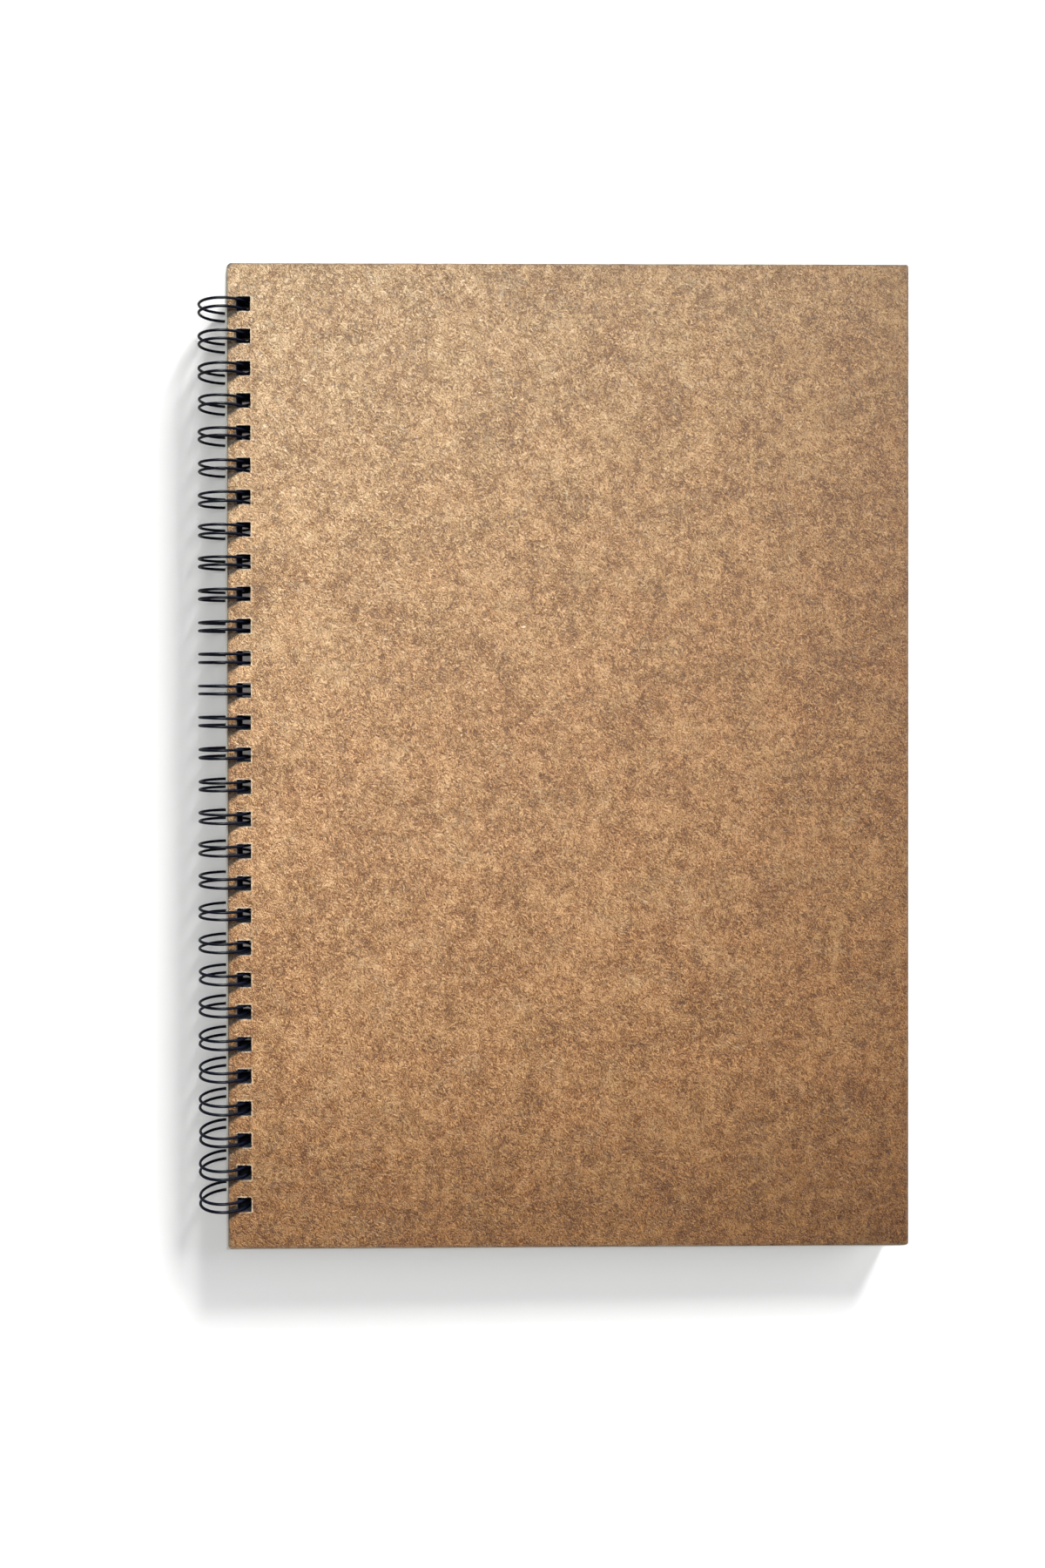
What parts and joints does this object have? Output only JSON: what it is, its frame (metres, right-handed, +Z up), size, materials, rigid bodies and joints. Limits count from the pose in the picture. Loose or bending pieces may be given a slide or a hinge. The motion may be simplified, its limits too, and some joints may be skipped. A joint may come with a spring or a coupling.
{
  "type": "sketchbook",
  "caption": "Portrait sketchbook with plain kraft board covers and loose paper leaves that turn on a black twin-loop wire along the left edge.",
  "frame": {"origin": "centre of the closed book's bounding box at its lowest point, which is the underside of the wire loops", "axes": "+X from the wire-bound spine edge to the fore edge, +Y from the tail to the head of the page, +Z up out of the front cover"},
  "size_m": [0.1882, 0.2604, 0.0142],
  "materials": {
    "kraft_board": "matte",
    "drawing_paper": "matte",
    "black_wire": "gloss"
  },
  "bodies": {
    "back_cover": {"back_cover": "kraft_board"},
    "wire_binding": {"wire_binding": "black_wire"},
    "leaf_24": {"leaf_24": "drawing_paper"},
    "leaf_23": {"leaf_23": "drawing_paper"},
    "leaf_22": {"leaf_22": "drawing_paper"},
    "leaf_21": {"leaf_21": "drawing_paper"},
    "leaf_20": {"leaf_20": "drawing_paper"},
    "leaf_19": {"leaf_19": "drawing_paper"},
    "leaf_18": {"leaf_18": "drawing_paper"},
    "leaf_17": {"leaf_17": "drawing_paper"},
    "leaf_16": {"leaf_16": "drawing_paper"},
    "leaf_15": {"leaf_15": "drawing_paper"},
    "leaf_14": {"leaf_14": "drawing_paper"},
    "leaf_13": {"leaf_13": "drawing_paper"},
    "leaf_12": {"leaf_12": "drawing_paper"},
    "leaf_11": {"leaf_11": "drawing_paper"},
    "leaf_10": {"leaf_10": "drawing_paper"},
    "leaf_09": {"leaf_09": "drawing_paper"},
    "leaf_08": {"leaf_08": "drawing_paper"},
    "leaf_07": {"leaf_07": "drawing_paper"},
    "leaf_06": {"leaf_06": "drawing_paper"},
    "leaf_05": {"leaf_05": "drawing_paper"},
    "leaf_04": {"leaf_04": "drawing_paper"},
    "leaf_03": {"leaf_03": "drawing_paper"},
    "leaf_02": {"leaf_02": "drawing_paper"},
    "leaf_01": {"leaf_01": "drawing_paper"},
    "front_cover": {"front_cover": "kraft_board"}
  },
  "joints": [
    {"name": "front_cover_turn", "type": "hinge", "parent": "leaf_01", "child": "front_cover", "pos_m": [-0.08696, 0, 0.00719], "axis": [0, -1, 0], "range_deg": [0, 180]},
    {"name": "leaf_01_turn", "type": "hinge", "parent": "leaf_02", "child": "leaf_01", "pos_m": [-0.08696, 0, 0.00719], "axis": [0, -1, 0], "range_deg": [0, 180]},
    {"name": "leaf_02_turn", "type": "hinge", "parent": "leaf_03", "child": "leaf_02", "pos_m": [-0.08696, 0, 0.00719], "axis": [0, -1, 0], "range_deg": [0, 180]},
    {"name": "leaf_03_turn", "type": "hinge", "parent": "leaf_04", "child": "leaf_03", "pos_m": [-0.08696, 0, 0.00719], "axis": [0, -1, 0], "range_deg": [0, 180]},
    {"name": "leaf_04_turn", "type": "hinge", "parent": "leaf_05", "child": "leaf_04", "pos_m": [-0.08696, 0, 0.00719], "axis": [0, -1, 0], "range_deg": [0, 180]},
    {"name": "leaf_05_turn", "type": "hinge", "parent": "leaf_06", "child": "leaf_05", "pos_m": [-0.08696, 0, 0.00719], "axis": [0, -1, 0], "range_deg": [0, 180]},
    {"name": "leaf_06_turn", "type": "hinge", "parent": "leaf_07", "child": "leaf_06", "pos_m": [-0.08696, 0, 0.00719], "axis": [0, -1, 0], "range_deg": [0, 180]},
    {"name": "leaf_07_turn", "type": "hinge", "parent": "leaf_08", "child": "leaf_07", "pos_m": [-0.08696, 0, 0.00719], "axis": [0, -1, 0], "range_deg": [0, 180]},
    {"name": "leaf_08_turn", "type": "hinge", "parent": "leaf_09", "child": "leaf_08", "pos_m": [-0.08696, 0, 0.00719], "axis": [0, -1, 0], "range_deg": [0, 180]},
    {"name": "leaf_09_turn", "type": "hinge", "parent": "leaf_10", "child": "leaf_09", "pos_m": [-0.08696, 0, 0.00719], "axis": [0, -1, 0], "range_deg": [0, 180]},
    {"name": "leaf_10_turn", "type": "hinge", "parent": "leaf_11", "child": "leaf_10", "pos_m": [-0.08696, 0, 0.00719], "axis": [0, -1, 0], "range_deg": [0, 180]},
    {"name": "leaf_11_turn", "type": "hinge", "parent": "leaf_12", "child": "leaf_11", "pos_m": [-0.08696, 0, 0.00719], "axis": [0, -1, 0], "range_deg": [0, 180]},
    {"name": "leaf_12_turn", "type": "hinge", "parent": "leaf_13", "child": "leaf_12", "pos_m": [-0.08696, 0, 0.00719], "axis": [0, -1, 0], "range_deg": [0, 180]},
    {"name": "leaf_13_turn", "type": "hinge", "parent": "leaf_14", "child": "leaf_13", "pos_m": [-0.08696, 0, 0.00719], "axis": [0, -1, 0], "range_deg": [0, 180]},
    {"name": "leaf_14_turn", "type": "hinge", "parent": "leaf_15", "child": "leaf_14", "pos_m": [-0.08696, 0, 0.00719], "axis": [0, -1, 0], "range_deg": [0, 180]},
    {"name": "leaf_15_turn", "type": "hinge", "parent": "leaf_16", "child": "leaf_15", "pos_m": [-0.08696, 0, 0.00719], "axis": [0, -1, 0], "range_deg": [0, 180]},
    {"name": "leaf_16_turn", "type": "hinge", "parent": "leaf_17", "child": "leaf_16", "pos_m": [-0.08696, 0, 0.00719], "axis": [0, -1, 0], "range_deg": [0, 180]},
    {"name": "leaf_17_turn", "type": "hinge", "parent": "leaf_18", "child": "leaf_17", "pos_m": [-0.08696, 0, 0.00719], "axis": [0, -1, 0], "range_deg": [0, 180]},
    {"name": "leaf_18_turn", "type": "hinge", "parent": "leaf_19", "child": "leaf_18", "pos_m": [-0.08696, 0, 0.00719], "axis": [0, -1, 0], "range_deg": [0, 180]},
    {"name": "leaf_19_turn", "type": "hinge", "parent": "leaf_20", "child": "leaf_19", "pos_m": [-0.08696, 0, 0.00719], "axis": [0, -1, 0], "range_deg": [0, 180]},
    {"name": "leaf_20_turn", "type": "hinge", "parent": "leaf_21", "child": "leaf_20", "pos_m": [-0.08696, 0, 0.00719], "axis": [0, -1, 0], "range_deg": [0, 180]},
    {"name": "leaf_21_turn", "type": "hinge", "parent": "leaf_22", "child": "leaf_21", "pos_m": [-0.08696, 0, 0.00719], "axis": [0, -1, 0], "range_deg": [0, 180]},
    {"name": "leaf_22_turn", "type": "hinge", "parent": "leaf_23", "child": "leaf_22", "pos_m": [-0.08696, 0, 0.00719], "axis": [0, -1, 0], "range_deg": [0, 180]},
    {"name": "leaf_23_turn", "type": "hinge", "parent": "leaf_24", "child": "leaf_23", "pos_m": [-0.08696, 0, 0.00719], "axis": [0, -1, 0], "range_deg": [0, 180]},
    {"name": "leaf_24_turn", "type": "hinge", "parent": "back_cover", "child": "leaf_24", "pos_m": [-0.08696, 0, 0.00719], "axis": [0, -1, 0], "range_deg": [0, 180]},
    {"name": "wire_turn", "type": "hinge", "parent": "back_cover", "child": "wire_binding", "pos_m": [-0.08696, 0, 0.00719], "axis": [0, -1, 0], "range_deg": [-15, 15]}
  ]
}
